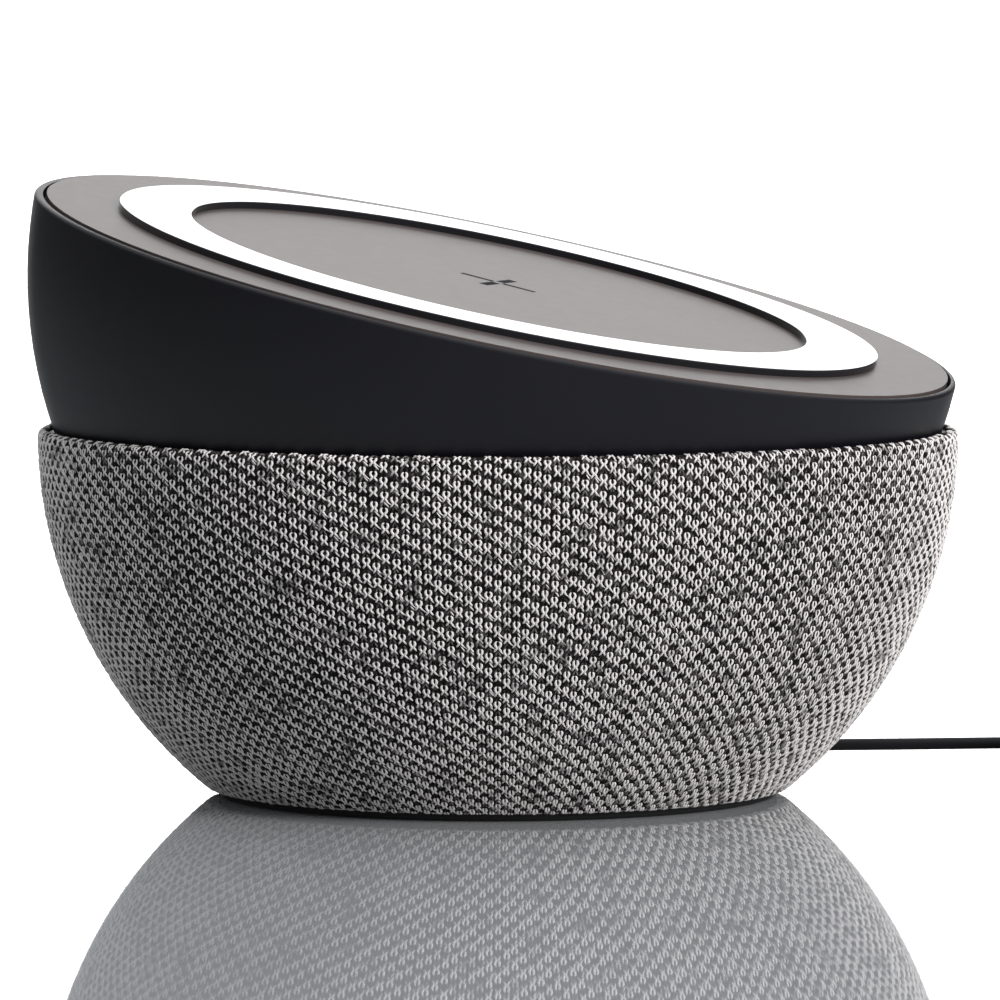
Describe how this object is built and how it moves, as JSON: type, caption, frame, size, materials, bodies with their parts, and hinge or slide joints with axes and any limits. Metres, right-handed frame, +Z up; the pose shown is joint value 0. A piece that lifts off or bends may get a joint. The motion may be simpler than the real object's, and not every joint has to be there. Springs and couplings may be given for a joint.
{
  "type": "smart home hub",
  "caption": "Round fabric-covered speaker bowl with a dark swivelling drum whose slanted face charges a phone on a raised ring, with a thin power lead.",
  "frame": {"origin": "centre of the foot on the table", "axes": "+Z up along the bowl's axis and the swivel axis, -Y towards the front, +X to the right; at rest the charging face falls towards the right and slightly to the front"},
  "size_m": [0.1997, 0.1474, 0.0964],
  "materials": {
    "knit_fabric": "two-tone melange knit",
    "drum_plastic": "satin charcoal",
    "face_plastic": "fine satin warm grey",
    "ring_gloss": "polished black",
    "mark_ink": "dark inlay",
    "structure_plastic": "moulded black",
    "glide_plastic": "natural acetal",
    "foot_rubber": "matt",
    "steel": "zinc plated",
    "weight_steel": "plain",
    "copper": "enamelled wire",
    "board_green": "solder mask",
    "chip_black": "moulded",
    "cone_paper": "coated paper",
    "surround_rubber": "matt",
    "magnet_ferrite": "sintered",
    "lead_jacket": "satin black",
    "tie_fabric": "woven strap",
    "plug_metal": "nickel plated"
  },
  "bodies": {
    "base": {"foot_pad": "foot_rubber", "base_plate": "structure_plastic", "base_screws": "steel", "ballast_plate": "weight_steel", "bowl_shell": "structure_plastic", "fabric_sleeve": "knit_fabric", "rim_ring": "structure_plastic", "main_board": "board_green", "board_screws": "steel", "board_chips": "chip_black", "shield_cans": "steel", "power_header": "chip_black", "antenna_boards": "board_green", "microphone_boards": "board_green", "speaker_box": "structure_plastic", "speaker_box_lid": "structure_plastic", "speaker_basket": "steel", "speaker_surround": "surround_rubber", "speaker_magnet": "magnet_ferrite", "speaker_yoke": "weight_steel", "speaker_screws": "steel", "top_deck": "structure_plastic", "deck_screws": "steel", "glide_ring": "glide_plastic", "retaining_clip": "steel", "stop_pin": "steel", "charge_lead_lower": "lead_jacket", "lead_gland": "lead_jacket", "inner_power_wire": "lead_jacket", "power_lead": "lead_jacket", "lead_tail": "lead_jacket", "lead_coil": "lead_jacket", "coil_tie": "tie_fabric", "plug_body": "lead_jacket", "plug_shell": "plug_metal", "plug_tongue": "chip_black"},
    "cone": {"speaker_cone": "cone_paper", "dust_cap": "cone_paper", "voice_coil": "copper"},
    "top": {"drum_shell": "drum_plastic", "drum_floor": "structure_plastic", "drum_screws": "steel", "face_plate": "face_plastic", "grip_ring": "ring_gloss", "target_mark": "mark_ink", "charging_coil": "copper", "ferrite_sheet": "magnet_ferrite", "coil_carrier": "structure_plastic", "coil_board": "board_green", "coil_board_parts": "chip_black", "carrier_screws": "steel", "charge_lead_upper": "lead_jacket"}
  },
  "joints": [
    {"name": "top_swivel", "type": "hinge", "parent": "base", "child": "top", "pos_m": [0, 0, 0.0588], "axis": [0, 0, 1], "range_deg": [-238, 102]},
    {"name": "cone_stroke", "type": "slide", "parent": "base", "child": "cone", "axis": [0, -1, 0], "range_m": [-0.0015, 0.0015], "stiffness_N_per_m": 1500}
  ]
}
